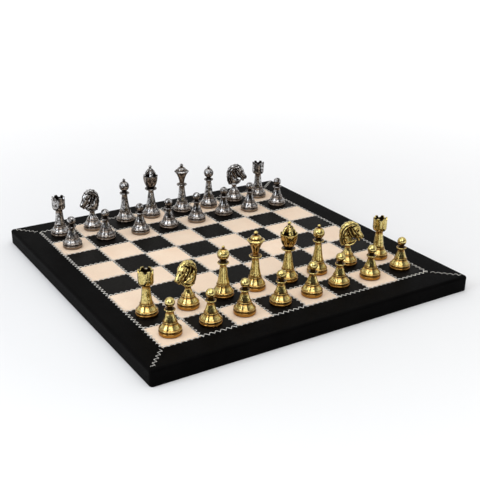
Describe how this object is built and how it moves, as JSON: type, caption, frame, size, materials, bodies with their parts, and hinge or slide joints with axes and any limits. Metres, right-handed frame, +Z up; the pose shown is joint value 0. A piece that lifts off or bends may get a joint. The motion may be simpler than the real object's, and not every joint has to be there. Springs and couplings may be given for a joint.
{
  "type": "chess set with board",
  "caption": "Chess board covered in sewn black and beige leather squares with a black border, and gold and silver metal chessmen that lift off it.",
  "frame": {"origin": "centre of the board's underside", "axes": "+X along the gold side's edge from the left rook's corner to the right rook's, +Y from the gold side to the silver side, +Z up"},
  "size_m": [0.4024, 0.4024, 0.0895],
  "materials": {
    "core": "raw fibreboard, hidden",
    "lining": "black flocked lining",
    "black_leather": "fine grain, satin",
    "beige_leather": "smooth, natural, satin",
    "thread": "twisted sewing thread",
    "gold": "polished, with dark patina in the recesses",
    "silver": "polished antique silver plate, dark in the recesses",
    "felt": "felt"
  },
  "bodies": {
    "board": {"core_panel": "core", "bottom_lining": "lining", "border_gold_side": "black_leather", "border_right": "black_leather", "border_silver_side": "black_leather", "border_left": "black_leather", "light_squares": "beige_leather", "dark_squares": "black_leather", "field_stitching": "thread", "corner_stitching": "thread"},
    "gold_rook_left": {"gold_rook_left": "gold", "gold_rook_left_felt": "felt"},
    "gold_knight_left": {"gold_knight_left": "gold", "gold_knight_left_felt": "felt"},
    "gold_bishop_left": {"gold_bishop_left": "gold", "gold_bishop_left_felt": "felt"},
    "gold_queen": {"gold_queen": "gold", "gold_queen_felt": "felt"},
    "gold_king": {"gold_king": "gold", "gold_king_felt": "felt"},
    "gold_bishop_right": {"gold_bishop_right": "gold", "gold_bishop_right_felt": "felt"},
    "gold_knight_right": {"gold_knight_right": "gold", "gold_knight_right_felt": "felt"},
    "gold_rook_right": {"gold_rook_right": "gold", "gold_rook_right_felt": "felt"},
    "silver_rook_left": {"silver_rook_left": "silver", "silver_rook_left_felt": "felt"},
    "silver_knight_left": {"silver_knight_left": "silver", "silver_knight_left_felt": "felt"},
    "silver_bishop_left": {"silver_bishop_left": "silver", "silver_bishop_left_felt": "felt"},
    "silver_king": {"silver_king": "silver", "silver_king_felt": "felt"},
    "silver_queen": {"silver_queen": "silver", "silver_queen_felt": "felt"},
    "silver_bishop_right": {"silver_bishop_right": "silver", "silver_bishop_right_felt": "felt"},
    "silver_knight_right": {"silver_knight_right": "silver", "silver_knight_right_felt": "felt"},
    "silver_rook_right": {"silver_rook_right": "silver", "silver_rook_right_felt": "felt"},
    "gold_pawn_1": {"gold_pawn_1": "gold"},
    "gold_pawn_2": {"gold_pawn_2": "gold"},
    "gold_pawn_3": {"gold_pawn_3": "gold"},
    "gold_pawn_4": {"gold_pawn_4": "gold"},
    "gold_pawn_5": {"gold_pawn_5": "gold"},
    "gold_pawn_6": {"gold_pawn_6": "gold"},
    "gold_pawn_7": {"gold_pawn_7": "gold"},
    "gold_pawn_8": {"gold_pawn_8": "gold"},
    "silver_pawn_1": {"silver_pawn_1": "silver"},
    "silver_pawn_2": {"silver_pawn_2": "silver"},
    "silver_pawn_3": {"silver_pawn_3": "silver"},
    "silver_pawn_4": {"silver_pawn_4": "silver"},
    "silver_pawn_5": {"silver_pawn_5": "silver"},
    "silver_pawn_6": {"silver_pawn_6": "silver"},
    "silver_pawn_7": {"silver_pawn_7": "silver"},
    "silver_pawn_8": {"silver_pawn_8": "silver"}
  },
  "joints": [
    {"name": "gold_rook_left_lift", "type": "slide", "parent": "board", "child": "gold_rook_left", "axis": [0, 0, 1], "range_m": [0, 0.1]},
    {"name": "gold_knight_left_lift", "type": "slide", "parent": "board", "child": "gold_knight_left", "axis": [0, 0, 1], "range_m": [0, 0.1]},
    {"name": "gold_bishop_left_lift", "type": "slide", "parent": "board", "child": "gold_bishop_left", "axis": [0, 0, 1], "range_m": [0, 0.1]},
    {"name": "gold_queen_lift", "type": "slide", "parent": "board", "child": "gold_queen", "axis": [0, 0, 1], "range_m": [0, 0.1]},
    {"name": "gold_king_lift", "type": "slide", "parent": "board", "child": "gold_king", "axis": [0, 0, 1], "range_m": [0, 0.1]},
    {"name": "gold_bishop_right_lift", "type": "slide", "parent": "board", "child": "gold_bishop_right", "axis": [0, 0, 1], "range_m": [0, 0.1]},
    {"name": "gold_knight_right_lift", "type": "slide", "parent": "board", "child": "gold_knight_right", "axis": [0, 0, 1], "range_m": [0, 0.1]},
    {"name": "gold_rook_right_lift", "type": "slide", "parent": "board", "child": "gold_rook_right", "axis": [0, 0, 1], "range_m": [0, 0.1]},
    {"name": "silver_rook_left_lift", "type": "slide", "parent": "board", "child": "silver_rook_left", "axis": [0, 0, 1], "range_m": [0, 0.1]},
    {"name": "silver_knight_left_lift", "type": "slide", "parent": "board", "child": "silver_knight_left", "axis": [0, 0, 1], "range_m": [0, 0.1]},
    {"name": "silver_bishop_left_lift", "type": "slide", "parent": "board", "child": "silver_bishop_left", "axis": [0, 0, 1], "range_m": [0, 0.1]},
    {"name": "silver_king_lift", "type": "slide", "parent": "board", "child": "silver_king", "axis": [0, 0, 1], "range_m": [0, 0.1]},
    {"name": "silver_queen_lift", "type": "slide", "parent": "board", "child": "silver_queen", "axis": [0, 0, 1], "range_m": [0, 0.1]},
    {"name": "silver_bishop_right_lift", "type": "slide", "parent": "board", "child": "silver_bishop_right", "axis": [0, 0, 1], "range_m": [0, 0.1]},
    {"name": "silver_knight_right_lift", "type": "slide", "parent": "board", "child": "silver_knight_right", "axis": [0, 0, 1], "range_m": [0, 0.1]},
    {"name": "silver_rook_right_lift", "type": "slide", "parent": "board", "child": "silver_rook_right", "axis": [0, 0, 1], "range_m": [0, 0.1]},
    {"name": "gold_pawn_1_lift", "type": "slide", "parent": "board", "child": "gold_pawn_1", "axis": [0, 0, 1], "range_m": [0, 0.1]},
    {"name": "gold_pawn_2_lift", "type": "slide", "parent": "board", "child": "gold_pawn_2", "axis": [0, 0, 1], "range_m": [0, 0.1]},
    {"name": "gold_pawn_3_lift", "type": "slide", "parent": "board", "child": "gold_pawn_3", "axis": [0, 0, 1], "range_m": [0, 0.1]},
    {"name": "gold_pawn_4_lift", "type": "slide", "parent": "board", "child": "gold_pawn_4", "axis": [0, 0, 1], "range_m": [0, 0.1]},
    {"name": "gold_pawn_5_lift", "type": "slide", "parent": "board", "child": "gold_pawn_5", "axis": [0, 0, 1], "range_m": [0, 0.1]},
    {"name": "gold_pawn_6_lift", "type": "slide", "parent": "board", "child": "gold_pawn_6", "axis": [0, 0, 1], "range_m": [0, 0.1]},
    {"name": "gold_pawn_7_lift", "type": "slide", "parent": "board", "child": "gold_pawn_7", "axis": [0, 0, 1], "range_m": [0, 0.1]},
    {"name": "gold_pawn_8_lift", "type": "slide", "parent": "board", "child": "gold_pawn_8", "axis": [0, 0, 1], "range_m": [0, 0.1]},
    {"name": "silver_pawn_1_lift", "type": "slide", "parent": "board", "child": "silver_pawn_1", "axis": [0, 0, 1], "range_m": [0, 0.1]},
    {"name": "silver_pawn_2_lift", "type": "slide", "parent": "board", "child": "silver_pawn_2", "axis": [0, 0, 1], "range_m": [0, 0.1]},
    {"name": "silver_pawn_3_lift", "type": "slide", "parent": "board", "child": "silver_pawn_3", "axis": [0, 0, 1], "range_m": [0, 0.1]},
    {"name": "silver_pawn_4_lift", "type": "slide", "parent": "board", "child": "silver_pawn_4", "axis": [0, 0, 1], "range_m": [0, 0.1]},
    {"name": "silver_pawn_5_lift", "type": "slide", "parent": "board", "child": "silver_pawn_5", "axis": [0, 0, 1], "range_m": [0, 0.1]},
    {"name": "silver_pawn_6_lift", "type": "slide", "parent": "board", "child": "silver_pawn_6", "axis": [0, 0, 1], "range_m": [0, 0.1]},
    {"name": "silver_pawn_7_lift", "type": "slide", "parent": "board", "child": "silver_pawn_7", "axis": [0, 0, 1], "range_m": [0, 0.1]},
    {"name": "silver_pawn_8_lift", "type": "slide", "parent": "board", "child": "silver_pawn_8", "axis": [0, 0, 1], "range_m": [0, 0.1]}
  ]
}
